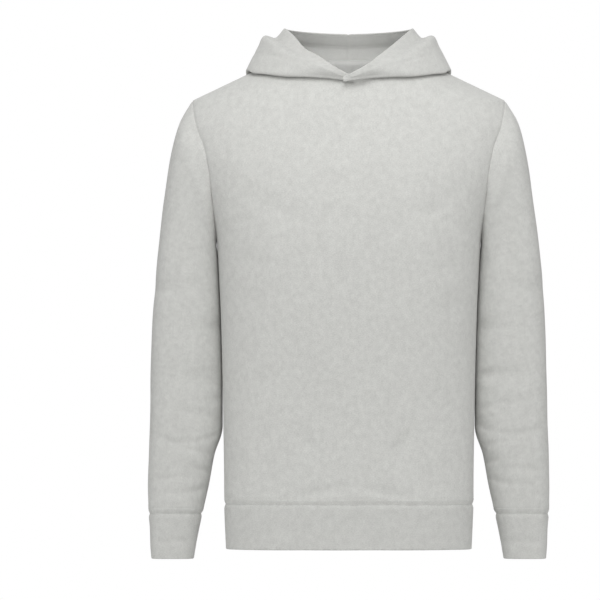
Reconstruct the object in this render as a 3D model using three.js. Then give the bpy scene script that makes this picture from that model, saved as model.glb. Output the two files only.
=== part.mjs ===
import * as THREE from 'three';

// Pullover hoodie, filled out as if worn, in millimetres.
// +Z is up, the front faces -Y and the wearer's left is +X.
// The origin is the middle of the neck opening, level with the high shoulder points.

// Driving sizes
const CLOTH = 2.2;               // wall of the body and sleeves
const DOUBLE_CLOTH = 3;          // wall of the hem band and cuffs
const HOOD_CLOTH = 2.6;          // wall of the hood
const SEAM_GAP = 0.3;            // space between two sewn pieces
const NECK_HALF = 92;            // half width of the neck opening at the shoulder points
const NECK_DROP_FRONT = 32;
const NECK_DROP_BACK = 3;
const NECK_CURVE = 2.4;          // more makes the front neckline deeper and narrower
const SHOULDER_TIP = { x: 222, z: -62 };
const ARMPIT = { x: 187, z: -262 };
const SIDE_SEAM_Y = -32;         // the side seam lies in front of the sleeve, which hangs a little back
const PANEL_SQUARENESS = 2.15;   // 2 makes each section an ellipse, more makes it squarer
const TROUGH_FADE = 6;           // how soon a trough runs out at the edge of its panel
const SLEEVE_SQUARENESS = 3.3;
const SLEEVE_HEAD_REACH = 2;     // rings over which a sleeve leaves the shape of its armhole
const HEM_SEAM_Z = -634;
const HEM_BOTTOM_Z = -698;

// Grid counts
const SIDE_ROWS = 11;            // rows of a panel along its side seam
const ARMHOLE_ROWS = 12;         // rows of a panel along its armhole
const SHOULDER_COLUMNS = 6;
const NECK_COLUMNS = 12;
const PANEL_COLUMNS = 2 * SHOULDER_COLUMNS + NECK_COLUMNS;
const SLEEVE_ROWS = 18;
const BAND_ROWS = 3;

// Colours of the light heather grey fleece
const FLEECE = 0xc9cac5;
const BAND_FLEECE = 0xbfbeb9;
const HOOD_FLEECE = 0xcfcec9;

// Body sections, a row for each height:
// [z, half width to the side seam or armhole, full half width of the section, front depth, back depth]
const BODY_SECTIONS = [
  [-700, 174, 174, 110, 110],
  [-634, 176.5, 176.5, 113, 113],
  [-580, 177, 177, 116, 115],
  [-520, 178, 178, 118, 117],
  [-430, 179.8, 179.8, 123, 119],
  [-345, 182.6, 182.6, 128, 121],
  [-262, 187, 187, 130, 126],
  [-210, 192.6, 200, 128, 130],
  [-162, 198.6, 218, 122, 129],
  [-128, 205.6, 231, 114, 124],
  [-98, 216.5, 238, 105, 117],
  [-62, 222, 222, 94, 108],
  [-30, 155, 155, 80, 92],
  [0, 92, 92, 66, 76],
];

// Sleeve rings from the armhole to the cuff:
// [outer x, outer z, inner x, inner z, half depth, middle y]
const SLEEVE_RINGS = [
  [222, -62, 187, -262, 54, -8],
  [241, -96.6, 187.4, -268, 56, -8],
  [252, -139, 186.4, -276, 53, -8],
  [262, -203, 185, -292, 50, -8],
  [272, -288, 182.8, -326, 47, -8],
  [278, -373, 180.6, -390, 44.5, -7],
  [281, -450, 179, -455, 42.5, -6],
  [282.5, -522, 178.8, -522, 40.5, -4],
  [284, -565, 190.6, -565, 38, -2],
  [285, -608, 198.6, -608, 36, 2],
  [284, -648, 207.8, -648, 33, 5],
];

// Cuff rings: [outer x, outer z, inner x, inner z, half depth, middle y]
const CUFF_RINGS = [
  [284, -648, 207.8, -648, 33, 5],
  [282.4, -671, 212.6, -671, 32, 6],
  [281.8, -693, 216.8, -693, 30.5, 6.5],
  [280.4, -711, 219.8, -711, 29, 6.5],
];

// Hood ribs from the centre front round to the centre back, for the wearer's left half:
// [angle round the neck, fold x, y, z, crest x, y, z, edge x, y, z, fold radius, bulge of the wall, dip]
// A rib leaves the neck seam, lies on the shoulder to the fold, and stands up to the crest and the edge.
const HOOD_RIBS = [
  [-5, -8, -86, -35, -8, -88.5, -33.5, -8, -88.5, -31.5, 2.2, 0, 0],
  [6, 12, -86, -31.5, 11, -90, -28, 6, -90, -24.5, 2.3, 0, 0],
  [18, 32, -83, -29.5, 30, -91, -20, 25, -89, -14, 2.6, 0.5, 0],
  [32, 58, -77, -29, 52, -84, -11, 44, -76, 0.5, 3.2, 1, 0],
  [48, 87, -66, -31, 80, -67, 1, 62, -54, 15, 3.4, 1.2, 2],
  [65, 111, -51, -30.5, 103.5, -42, 13.5, 77, -28, 28, 3, 0.5, 5],
  [82, 127.5, -27, -32, 115.5, -12, 24.5, 88, -4, 37.5, 3, 0.3, 8.5],
  [98, 129.5, 8, -35, 119.5, 20, 29.5, 91, 22, 40, 3, 0.5, 8.5],
  [114, 125, 48, -58, 117, 60, 28, 86, 56, 39, 5.5, 2, 8],
  [132, 116, 94, -105, 97, 98, 22, 70, 90, 37.5, 9, 10, 7],
  [150, 87, 126, -175, 65.5, 126, 16.5, 46, 112, 36, 10, 18, 6],
  [165, 46, 137, -222, 33, 138, 14, 23, 121, 35, 10, 24, 6],
  [180, 0, 141, -240, 0, 142, 13, 0, 124, 34.5, 10, 26, 6],
];

// Places among the ribs where the columns of the hood lie, closer where the fold rounds the shoulder blade
const HOOD_COLUMN_PLACES = [
  0, 0.6, 1.2, 2, 3, 4, 5, 5.8, 6.5, 7.2, 7.7, 8.1, 8.5, 8.9, 9.3, 9.7, 10.2, 10.8, 11.4, 12,
];

// Places along a rib's eleven control points where the rows of the hood lie
const HOOD_ROW_PLACES = [0, 0.5, 1, 1.5, 2, 2.5, 3, 3.5, 4, 4.5, 5, 5.7, 6.4, 7.1, 7.6, 8, 8.5, 9, 9.5, 10];

const NECK_GAP = 1.5;            // space between the hood's first row and the panels, whose facets differ
const NECK_LAP = 3;              // how far the hood's first row lies below the panels' neck edge
const FLOOR_CLEARANCE = 2;       // extra space between the panels and the hood that lies on them
const HOOD_MIDDLE_Y = 20;        // y of the hood's middle, from which its wall bulges
const LAP_STEP = 8.8;            // how far the upper front edge stands out over the lower one
const LAP_FULL_X = 12;           // the upper half stands fully out up to this x
const LAP_END_X = 36;            // and is back on the panel from this x
const KINK_DEPTH = 5.5;          // soft dent in the right half's front edge
const KINK_ANGLE = 48;
const KINK_REACH = 13;
const SPREAD_LENGTH = 60;        // a rib at least this long lies the whole floor clearance off the panels
const DIP_PLACE = 0.55;          // where the wall dips between its crest and its free edge
const SETTLE_STEPS = 14;         // steps of the search for a place at a distance from the body
const SETTLE_REACH = 0.5;
const SETTLE_LIMIT = 12;         // longest single step of that search
const SAME_PLACE = 0.01;         // points nearer than this are sewn together
const SAME_WAY = 0.1;            // walls that turn further apart than this keep their own normals

// Soft troughs in the front and back panels:
// [face (-1 front, 1 back), x, z, half length, half width, turn in degrees, depth]
const BODY_TROUGHS = [
  [-1, -70, -585, 62, 15, 8, 3.6],
  [-1, 72, -575, 58, 15, -10, 3.2],
  [-1, -118, -209, 48, 13, -64, 2.4],
  [-1, 120, -215, 46, 13, 62, 2.2],
  [-1, -150, -470, 60, 16, 62, 2.6],
  [-1, 146, -500, 56, 16, -58, 2.4],
  [1, -62, -520, 70, 17, 10, 3.6],
  [1, 78, -560, 60, 16, -8, 3.2],
  [1, -122, -226, 50, 14, -56, 3.4],
  [1, 124, -220, 48, 14, 56, 3.2],
  [1, 8, -420, 84, 22, 88, 3.0],
];

// Soft troughs in a sleeve: [turn round the sleeve in degrees, z, half turn, half height, depth]
const SLEEVE_TROUGHS = [
  [-62, -384, 46, 11, 4.0],
  [-28, -452, 40, 12, 3.0],
  [-70, -520, 44, 11, 3.2],
  [200, -400, 48, 12, 4.0],
  [236, -470, 44, 12, 3.4],
  [40, -330, 40, 14, 2.6],
  [-100, -330, 34, 12, 2.6],
];

// Reads a table of sections at any height or place by a smooth curve through its rows
function readTable(rows, place, column) {
  const last = rows.length - 1;
  const at = Math.min(Math.max(place, 0), last);
  const row = Math.min(Math.floor(at), last - 1);
  const part = at - row;
  const slope = (i) => {
    if (i <= 0) return rows[1][column] - rows[0][column];
    if (i >= last) return rows[last][column] - rows[last - 1][column];
    const before = rows[i][column] - rows[i - 1][column];
    const after = rows[i + 1][column] - rows[i][column];
    return before * after <= 0 ? 0 : (2 * before * after) / (before + after);
  };
  const from = rows[row][column];
  const to = rows[row + 1][column];
  const square = part * part;
  const cube = square * part;
  return from * (2 * cube - 3 * square + 1) + slope(row) * (cube - 2 * square + part)
    + to * (3 * square - 2 * cube) + slope(row + 1) * (cube - square);
}

function bodyPlace(z) {
  let row = 0;
  while (row < BODY_SECTIONS.length - 2 && z > BODY_SECTIONS[row + 1][0]) row += 1;
  const low = BODY_SECTIONS[row][0];
  return row + (z - low) / (BODY_SECTIONS[row + 1][0] - low);
}

const mix = (a, b, part) => a + (b - a) * part;
const radians = (degrees) => (degrees * Math.PI) / 180;

// Half the width at a height, to the side seam, armhole or shoulder ridge; column 2 gives the full section
function halfWidth(z, column = 1) {
  if (z > SHOULDER_TIP.z) {
    return mix(SHOULDER_TIP.x, NECK_HALF, (z - SHOULDER_TIP.z) / -SHOULDER_TIP.z);
  }
  return readTable(BODY_SECTIONS, bodyPlace(z), column);
}

// y of the side seam, which runs out to the middle at the shoulder tip
function seamMiddle(z) {
  const up = (z - ARMPIT.z) / (SHOULDER_TIP.z - ARMPIT.z);
  return SIDE_SEAM_Y * (1 - Math.min(1, Math.max(0, up)));
}

function troughDepth(x, z, face) {
  let depth = 0;
  for (const [side, atX, atZ, halfLength, halfBreadth, turn, deep] of BODY_TROUGHS) {
    if (side !== face) continue;
    const angle = radians(turn);
    const along = ((x - atX) * Math.sin(angle) + (z - atZ) * Math.cos(angle)) / halfLength;
    const across = ((x - atX) * Math.cos(angle) - (z - atZ) * Math.sin(angle)) / halfBreadth;
    depth += deep * Math.exp(-along * along - across * across);
  }
  return depth;
}

// Outside face of the front or back panel at a place in the front view
function panelY(x, z, face) {
  const depth = readTable(BODY_SECTIONS, bodyPlace(z), face < 0 ? 3 : 4);
  const out = Math.min(1, Math.abs(x) / halfWidth(z, 2));
  const atEdge = Math.min(1, Math.abs(x) / halfWidth(z));
  const arch = Math.sqrt(1 - out ** PANEL_SQUARENESS);
  const trough = troughDepth(x, z, face) * (1 - atEdge ** TROUGH_FADE);
  return seamMiddle(z) * atEdge ** 2 + face * (depth - trough) * arch;
}

const onPanel = (x, z, face) => new THREE.Vector3(x, panelY(x, z, face), z);

// Point of the neckline at an angle round the neck: 0 is the centre front, 180 the centre back
function neckline(angle) {
  const forward = Math.cos(radians(angle));
  const x = NECK_HALF * Math.sin(radians(angle));
  const z = forward > 0 ? -NECK_DROP_FRONT * forward ** NECK_CURVE : -NECK_DROP_BACK * Math.abs(forward);
  return onPanel(x, z, forward > 0 ? -1 : 1);
}

// Point of an armhole at a turn: -90 is the armpit, 90 the shoulder tip
function armholePoint(turn, face) {
  const z = mix(ARMPIT.z, SHOULDER_TIP.z, (Math.sin(radians(turn)) + 1) / 2);
  return onPanel(halfWidth(z), z, face);
}

// Right hand border of a panel, from the hem seam up the side seam and round the armhole
function sideBorder(row) {
  if (row <= SIDE_ROWS) {
    const z = mix(HEM_SEAM_Z, ARMPIT.z, row / SIDE_ROWS);
    return { x: halfWidth(z), z };
  }
  const turn = mix(-90, 90, (row - SIDE_ROWS) / ARMHOLE_ROWS);
  const point = armholePoint(turn, 1);
  return { x: point.x, z: point.z };
}

// Top border of a panel, along one shoulder, the neckline and the other shoulder
function topBorder(column, face) {
  const fromMiddle = column - PANEL_COLUMNS / 2;
  const side = Math.sign(fromMiddle);
  const neckSteps = NECK_COLUMNS / 2;
  if (Math.abs(fromMiddle) <= neckSteps) {
    const angle = (90 * Math.abs(fromMiddle)) / neckSteps;
    const point = neckline(face < 0 ? angle : 180 - angle);
    return { x: side * point.x, z: point.z };
  }
  const part = (Math.abs(fromMiddle) - neckSteps) / SHOULDER_COLUMNS;
  return { x: side * mix(NECK_HALF, SHOULDER_TIP.x, part), z: mix(0, SHOULDER_TIP.z, part) };
}

// Points of a panel: a patch stretched between its four borders in the front view, then put on the body
function panelGrid(face) {
  const rows = SIDE_ROWS + ARMHOLE_ROWS;
  const grid = [];
  for (let row = 0; row <= rows; row += 1) {
    const side = sideBorder(row);
    const up = (side.z - HEM_SEAM_Z) / (SHOULDER_TIP.z - HEM_SEAM_Z);
    const line = [];
    for (let column = 0; column <= PANEL_COLUMNS; column += 1) {
      const across = -Math.cos((Math.PI * column) / PANEL_COLUMNS);
      const top = topBorder(column, face);
      const bottomX = halfWidth(HEM_SEAM_Z) * across;
      const cornersX = mix(halfWidth(HEM_SEAM_Z), SHOULDER_TIP.x, up) * across;
      const x = mix(bottomX, top.x, up) + side.x * across - cornersX;
      const z = mix(HEM_SEAM_Z, top.z, up) + side.z - mix(HEM_SEAM_Z, SHOULDER_TIP.z, up);
      line.push(onPanel(x, z, face));
    }
    grid.push(line);
  }
  return grid;
}

// A ring of points from one row of a sleeve or cuff table: turn -90 is the inner edge and 0 the front
function limbRing(rows, place, side) {
  const [outerX, outerZ, innerX, innerZ, halfDepth, middleY] = [0, 1, 2, 3, 4, 5]
    .map((column) => readTable(rows, place, column));
  const power = 2 / SLEEVE_SQUARENESS;
  const squared = (value) => Math.sign(value) * Math.abs(value) ** power;
  const ring = [];
  const count = 2 * ARMHOLE_ROWS;
  for (let step = 0; step < count; step += 1) {
    const turn = -90 + (360 * step) / count;
    const part = (squared(Math.sin(radians(turn))) + 1) / 2;
    const y = middleY - halfDepth * squared(Math.cos(radians(turn)));
    const x = side * mix(innerX, outerX, part);
    ring.push({ turn, point: new THREE.Vector3(x, y, mix(innerZ, outerZ, part)) });
  }
  return ring;
}

function sleeveGrid(side) {
  const grid = [];
  const fromArmhole = limbRing(SLEEVE_RINGS, 0, side).map(({ turn, point }) => {
    const seam = armholePoint(turn, Math.cos(radians(turn)) > 0 ? -1 : 1);
    return seam.setX(side * seam.x).sub(point);
  });
  for (let row = 0; row <= SLEEVE_ROWS; row += 1) {
    const place = ((SLEEVE_RINGS.length - 1) * row) / SLEEVE_ROWS;
    const ring = limbRing(SLEEVE_RINGS, place, side);
    const hold = Math.max(0, 1 - place / SLEEVE_HEAD_REACH) ** 2;
    ring.forEach(({ point }, step) => point.addScaledVector(fromArmhole[step], hold));
    const middle = new THREE.Vector3();
    ring.forEach(({ point }) => middle.addScaledVector(point, 1 / ring.length));
    grid.push(ring.map(({ turn, point }) => {
      let depth = 0;
      for (const [atTurn, atZ, halfTurn, halfHeight, deep] of SLEEVE_TROUGHS) {
        const round = (((turn - atTurn + 540) % 360) - 180) / halfTurn;
        const along = (point.z - atZ) / halfHeight;
        depth += deep * Math.exp(-round * round - along * along);
      }
      return point.lerp(middle, depth / point.distanceTo(middle));
    }));
  }
  return grid;
}

function cuffGrid(side) {
  const grid = [];
  for (let row = 0; row <= BAND_ROWS; row += 1) {
    const place = ((CUFF_RINGS.length - 1) * row) / BAND_ROWS;
    grid.push(limbRing(CUFF_RINGS, place, side).map(({ point }) => point));
  }
  return grid;
}

// The hem band carries on from the panels' lowest points, all round
function hemGrid(front, back) {
  const seam = [...front[0].slice(0, PANEL_COLUMNS), ...[...back[0]].reverse().slice(0, PANEL_COLUMNS)];
  const grid = [];
  for (let row = 0; row <= BAND_ROWS; row += 1) {
    const z = mix(HEM_SEAM_Z, HEM_BOTTOM_Z, row / BAND_ROWS);
    const scaleX = halfWidth(z) / halfWidth(HEM_SEAM_Z);
    const place = bodyPlace(z);
    const seamPlace = bodyPlace(HEM_SEAM_Z);
    grid.push(seam.map((point) => {
      const column = point.y < SIDE_SEAM_Y ? 3 : 4;
      const scaleY = readTable(BODY_SECTIONS, place, column) / readTable(BODY_SECTIONS, seamPlace, column);
      return new THREE.Vector3(point.x * scaleX, mix(SIDE_SEAM_Y, point.y, scaleY), z);
    }));
  }
  return grid;
}

// Below zero inside the body, zero on its outside face and above zero clear of it
function bodyField(point) {
  const z = Math.min(point.z, 0);
  const out = Math.abs(point.x) / halfWidth(z, 2);
  const atEdge = Math.min(1, Math.abs(point.x) / halfWidth(z));
  const fromMiddle = point.y - seamMiddle(z) * atEdge ** 2;
  const deep = Math.abs(fromMiddle) / readTable(BODY_SECTIONS, bodyPlace(z), point.y < 0 ? 3 : 4);
  const above = Math.max(0, point.z) / NECK_HALF;
  return deep ** 2 + out ** PANEL_SQUARENESS - 1 + above;
}

// Moves a point to a distance from the body's outside face, and gives the way straight out there
function settle(point, clearance) {
  const settled = point.clone();
  let normal = new THREE.Vector3();
  for (let step = 0; step < SETTLE_STEPS; step += 1) {
    const reach = SETTLE_REACH;
    const slope = (x, y, z) => {
      const ahead = new THREE.Vector3(settled.x + x, settled.y + y, settled.z + z);
      const behind = new THREE.Vector3(settled.x - x, settled.y - y, settled.z - z);
      return (bodyField(ahead) - bodyField(behind)) / (2 * reach);
    };
    normal = new THREE.Vector3(slope(reach, 0, 0), slope(0, reach, 0), slope(0, 0, reach));
    const steepness = Math.max(normal.length(), 1e-4);
    normal.normalize();
    const move = clearance - bodyField(settled) / steepness;
    settled.addScaledVector(normal, Math.max(-SETTLE_LIMIT, Math.min(SETTLE_LIMIT, move)));
  }
  return { point: settled, normal };
}

// Control points of one rib of the hood, from the neck seam to the free edge
function hoodRib(place, side) {
  const value = (column) => readTable(HOOD_RIBS, place, column);
  const spot = (column) => new THREE.Vector3(value(column), value(column + 1), value(column + 2));
  const angle = value(0);
  const foldRadius = value(10);
  const fold = spot(1);
  const crest = spot(4);
  const edge = spot(7);
  if (side < 0) edge.z -= KINK_DEPTH * Math.exp(-(((angle - KINK_ANGLE) / KINK_REACH) ** 2));
  const spread = Math.min(1, fold.distanceTo(edge) / SPREAD_LENGTH);
  const seamGap = HOOD_CLOTH / 2 + NECK_GAP;
  const floorGap = seamGap + FLOOR_CLEARANCE * spread;
  const neck = neckline(angle);
  const below = neck.clone().lerp(fold, Math.min(0.5, NECK_LAP / neck.distanceTo(fold)));
  const start = settle(below, seamGap).point;
  const floorEnd = settle(fold, floorGap);
  const between = (part) => start.clone().lerp(floorEnd.point, part);
  const floor = [between(1 / 3), between(2 / 3)].map((point) => settle(point, floorGap).point);
  const onwards = floorEnd.point.clone().sub(floor[1]).normalize();
  const foldPoint = floorEnd.point.clone().addScaledVector(floorEnd.normal, foldRadius)
    .addScaledVector(onwards, foldRadius);
  const wallStart = floorEnd.point.clone().addScaledVector(floorEnd.normal, 2 * foldRadius);
  const outwards = new THREE.Vector3(crest.x, crest.y - HOOD_MIDDLE_Y, 0).normalize();
  const wall = [1, 2].map((third) => wallStart.clone().lerp(crest, third / 3)
    .addScaledVector(outwards, value(11)));
  const dip = crest.clone().lerp(edge, DIP_PLACE);
  dip.z -= value(12);
  return [start, ...floor, floorEnd.point, foldPoint, wallStart, ...wall, crest, dip, edge];
}

// The hood's mid surface: the wearer's left half laps over the right half at the centre front
function hoodGrid(side) {
  const columns = HOOD_COLUMN_PLACES.map((place) => {
    const rib = hoodRib(place, side);
    const curve = new THREE.CatmullRomCurve3(rib, false, 'centripetal');
    return HOOD_ROW_PLACES.map((at) => {
      const point = curve.getPoint(at / (rib.length - 1));
      const lapPart = Math.min(1, Math.max(0, (LAP_END_X - point.x) / (LAP_END_X - LAP_FULL_X)));
      const lapped = side > 0 && point.y < 0 ? lapPart * lapPart * (3 - 2 * lapPart) : 0;
      return new THREE.Vector3(side * point.x, point.y - LAP_STEP * lapped, point.z);
    });
  });
  return HOOD_ROW_PLACES.map((place, row) => columns.map((column) => column[row]));
}

// Normals of a grid of points, from the neighbours along its rows and columns
function gridNormals(grid, closed) {
  const last = grid.length - 1;
  return grid.map((line, row) => line.map((point, column) => {
    const count = line.length;
    const next = closed ? (column + 1) % count : Math.min(column + 1, count - 1);
    const previous = closed ? (column + count - 1) % count : Math.max(column - 1, 0);
    const across = line[next].clone().sub(line[previous]);
    const up = grid[Math.min(row + 1, last)][column].clone().sub(grid[Math.max(row - 1, 0)][column]);
    return across.cross(up).normalize();
  }));
}

// Turns the normals outwards, away from the middle of each row
function faceOutwards(piece) {
  let outward = 0;
  piece.grid.forEach((line, row) => {
    const middle = new THREE.Vector3();
    line.forEach((point) => middle.addScaledVector(point, 1 / line.length));
    if (!piece.closed) middle.y = 0;
    line.forEach((point, column) => {
      outward += piece.normals[row][column].dot(point.clone().sub(middle));
    });
  });
  if (outward < 0) piece.normals.forEach((line) => line.forEach((normal) => normal.negate()));
}

function borderSpots(piece) {
  const spots = [];
  const lastRow = piece.grid.length - 1;
  const lastColumn = piece.grid[0].length - 1;
  piece.grid.forEach((line, row) => line.forEach((point, column) => {
    const endRow = row === 0 || row === lastRow;
    const endColumn = !piece.closed && (column === 0 || column === lastColumn);
    if (endRow || endColumn) spots.push({ piece, row, column, point, normal: piece.normals[row][column] });
  }));
  return spots;
}

// Gives points that are sewn together one normal, unless the two walls turn away from each other there
function shareSeamNormals(pieces) {
  const spots = pieces.flatMap(borderSpots);
  spots.forEach((spot) => {
    const sewn = spots.filter((other) => other.point.distanceTo(spot.point) < SAME_PLACE);
    const own = new THREE.Vector3();
    const all = new THREE.Vector3();
    sewn.forEach((other) => {
      if (other.piece.group === spot.piece.group) own.add(other.normal);
      else all.add(other.normal);
    });
    own.normalize();
    if (all.length() > 0 && own.dot(all.normalize()) > SAME_WAY) own.add(all).normalize();
    spot.shared = own;
  });
  spots.forEach((spot) => spot.piece.normals[spot.row][spot.column].copy(spot.shared));
}

// Draws the borders of a piece back by half a seam gap
function drawBack(piece) {
  const { grid, closed } = piece;
  const lastRow = grid.length - 1;
  const lastColumn = grid[0].length - 1;
  const moved = grid.map((line) => line.map((point) => point.clone()));
  const pull = (row, column, towardsRow, towardsColumn) => {
    const inwards = grid[towardsRow][towardsColumn].clone().sub(grid[row][column]).normalize();
    moved[row][column].addScaledVector(inwards, SEAM_GAP / 2);
  };
  grid[0].forEach((point, column) => {
    pull(0, column, 1, column);
    pull(lastRow, column, lastRow - 1, column);
  });
  if (!closed) {
    grid.forEach((line, row) => {
      pull(row, 0, row, 1);
      pull(row, lastColumn, row, lastColumn - 1);
    });
  }
  piece.grid = moved;
}

// One closed wall between an outer and an inner grid of points
function wallGeometry(outer, inner, closed) {
  const rows = outer.length;
  const columns = outer[0].length;
  const positions = [...outer.flat(), ...inner.flat()].flatMap((point) => point.toArray());
  const outside = (row, column) => row * columns + (column % columns);
  const inside = (row, column) => rows * columns + outside(row, column);
  const faces = [];
  const quad = (a, b, c, d) => faces.push(a, b, c, a, c, d);
  const spanColumns = closed ? columns : columns - 1;
  for (let row = 0; row < rows - 1; row += 1) {
    for (let column = 0; column < spanColumns; column += 1) {
      const ring = [[row, column], [row, column + 1], [row + 1, column + 1], [row + 1, column]];
      const at = ([r, c]) => outer[r][c % columns];
      const turned = at(ring[0]).distanceTo(at(ring[2])) > at(ring[1]).distanceTo(at(ring[3]));
      const corners = turned ? [ring[1], ring[2], ring[3], ring[0]] : ring;
      quad(...corners.map(([r, c]) => outside(r, c)));
      const back = [corners[0], corners[3], corners[2], corners[1]];
      quad(...back.map(([r, c]) => inside(r, c)));
    }
  }
  const rim = (from, to) => quad(outside(...to), outside(...from), inside(...from), inside(...to));
  for (let column = 0; column < spanColumns; column += 1) {
    rim([0, column], [0, column + 1]);
    rim([rows - 1, column + 1], [rows - 1, column]);
  }
  if (!closed) {
    for (let row = 0; row < rows - 1; row += 1) {
      rim([row + 1, 0], [row, 0]);
      rim([row, columns - 1], [row + 1, columns - 1]);
    }
  }
  return facingOut(positions, faces);
}

// Turns every face over if the body they close would have a negative volume
function facingOut(positions, faces) {
  const corner = (index) => new THREE.Vector3().fromArray(positions, 3 * index);
  let volume = 0;
  for (let face = 0; face < faces.length; face += 3) {
    volume += corner(faces[face]).dot(corner(faces[face + 1]).cross(corner(faces[face + 2])));
  }
  if (volume < 0) {
    for (let face = 0; face < faces.length; face += 3) {
      [faces[face + 1], faces[face + 2]] = [faces[face + 2], faces[face + 1]];
    }
  }
  const geometry = new THREE.BufferGeometry();
  geometry.setAttribute('position', new THREE.Float32BufferAttribute(positions, 3));
  geometry.setIndex(faces);
  geometry.computeVertexNormals();
  return geometry;
}

const offsetGrid = (piece, distance) => piece.grid.map((line, row) => line.map(
  (point, column) => point.clone().addScaledVector(piece.normals[row][column], distance),
));

function fleece(colour) {
  return new THREE.MeshStandardMaterial({ color: colour, roughness: 0.95, metalness: 0 });
}

function newPiece(name, group, grid, closed, cloth, colour) {
  const piece = { name, group, grid, closed, cloth, colour, outerShare: 0 };
  piece.normals = gridNormals(grid, closed);
  return piece;
}

function sewnPieces() {
  const front = panelGrid(-1);
  const back = panelGrid(1);
  const pieces = [
    newPiece('front', 'body', front, false, CLOTH, FLEECE),
    newPiece('back', 'body', back, false, CLOTH, FLEECE),
    newPiece('hem_band', 'body', hemGrid(front, back), true, DOUBLE_CLOTH, BAND_FLEECE),
  ];
  for (const [word, side] of [['left', 1], ['right', -1]]) {
    pieces.push(newPiece(`sleeve_${word}`, word, sleeveGrid(side), true, CLOTH, FLEECE));
    pieces.push(newPiece(`cuff_${word}`, word, cuffGrid(side), true, DOUBLE_CLOTH, BAND_FLEECE));
  }
  pieces.forEach(faceOutwards);
  shareSeamNormals(pieces);
  pieces.forEach(drawBack);
  return pieces;
}

function hoodPieces() {
  return [['left', 1], ['right', -1]].map(([word, side]) => {
    const piece = newPiece(`hood_${word}`, 'hood', hoodGrid(side), false, HOOD_CLOTH, HOOD_FLEECE);
    piece.outerShare = 0.5;
    const last = piece.grid[0].length - 1;
    piece.grid.forEach((line, row) => {
      piece.normals[row][last].setX(0).normalize();
      line[last].x = (side * SEAM_GAP) / 2;
    });
    return piece;
  });
}

const hoodie = new THREE.Group();
for (const piece of [...sewnPieces(), ...hoodPieces()]) {
  const outer = offsetGrid(piece, piece.outerShare * piece.cloth);
  const inner = offsetGrid(piece, (piece.outerShare - 1) * piece.cloth);
  const mesh = new THREE.Mesh(wallGeometry(outer, inner, piece.closed), fleece(piece.colour));
  mesh.name = piece.name;
  hoodie.add(mesh);
}

export default hoodie;
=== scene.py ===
# Pullover hoodie: the fine cloth, its stitching, the light and the camera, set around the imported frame.
# Sizes in the tables are millimetres, as in the part; meshes are made in metres.
import math

import bpy
import numpy as np
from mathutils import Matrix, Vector


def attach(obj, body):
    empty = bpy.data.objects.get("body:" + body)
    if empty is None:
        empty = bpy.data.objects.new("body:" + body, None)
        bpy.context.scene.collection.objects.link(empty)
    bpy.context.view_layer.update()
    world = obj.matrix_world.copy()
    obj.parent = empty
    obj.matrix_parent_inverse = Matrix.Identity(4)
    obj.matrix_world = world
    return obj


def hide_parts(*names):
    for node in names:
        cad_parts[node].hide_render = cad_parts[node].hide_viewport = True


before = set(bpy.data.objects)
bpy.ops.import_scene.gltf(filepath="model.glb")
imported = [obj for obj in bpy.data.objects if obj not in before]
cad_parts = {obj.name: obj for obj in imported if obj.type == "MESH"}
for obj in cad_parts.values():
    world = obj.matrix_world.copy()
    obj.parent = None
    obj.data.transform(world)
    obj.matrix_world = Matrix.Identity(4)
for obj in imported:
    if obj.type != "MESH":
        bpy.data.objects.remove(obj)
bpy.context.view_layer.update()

MM = 0.001
DETAIL = 1.0

# Thickness of the cloth: single, of the double bands, and of the hood
CLOTH = 2.2
DOUBLE_CLOTH = 3.0
HOOD_CLOTH = 2.6

# Cut of the body and the sleeves
NECK_HALF = 92
NECK_DROP_FRONT = 32
NECK_DROP_BACK = 3
NECK_CURVE = 2.4
SHOULDER_X, SHOULDER_Z = 222, -62
ARMPIT_Z = -262
SECTION_ROUNDNESS = 0.5
SIDE_SEAM_Y = -32
PANEL_SQUARENESS = 2.15
SLEEVE_SQUARENESS = 3.3
SLEEVE_HEAD_REACH = 2
HEM_SEAM_Z = -634
HEM_BOTTOM_Z = -698

# A panel's creases end at its border, the more steeply the higher this power
EDGE_POWER = 6

# Rows and columns of a panel, from corner to corner of its border
SIDE_ROWS, ARMHOLE_ROWS = 9, 10
SHOULDER_COLUMNS, NECK_COLUMNS = 5, 10
PANEL_COLUMNS = 2 * SHOULDER_COLUMNS + NECK_COLUMNS

# Fine steps to a row or column, and extra places near both ends
PANEL_ROW_STEPS = 8
PANEL_ROW_ENDS = (0.03, 0.06, 0.09, 0.12, 0.15, 0.18, 0.21, 0.25, 0.3)
PANEL_COLUMN_STEPS = 6
PANEL_COLUMN_ENDS = (0.04, 0.09, 0.15, 0.22, 0.3, 0.4, 0.5)
SLEEVE_ROW_STEPS = 16
SLEEVE_ROW_ENDS = (0.02, 0.045, 0.07, 0.1, 0.13, 0.16, 0.19, 0.23, 0.28)
CUFF_ROW_STEPS = 8
CUFF_ROW_ENDS = (0.03, 0.07, 0.12)
LIMB_TURN_STEPS = 128
HEM_ROW_STEPS = 22
HEM_ROW_ENDS = (0.015, 0.03, 0.05, 0.97, 0.985)
RIB_STEPS = 10
RIB_ENDS = (0.02, 0.05, 0.1)

# Stretches of a hood rib: first control point, last one, steps; and extra rows at the free edge
HOOD_STRETCHES = ((0, 3, 24), (3, 5, 20), (5, 10, 64))
HOOD_EDGE_ROWS = (9.95, 9.98)

# Seams: how deep the cloth is let in along them, and how wide
BAND_SEAM = (1.8, 3.0)
PLAIN_SEAM = (1.2, 2.2)
SHOULDER_SEAM = (0.8, 2)
HOOD_SEAM = (1.0, 2.2)

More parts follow.
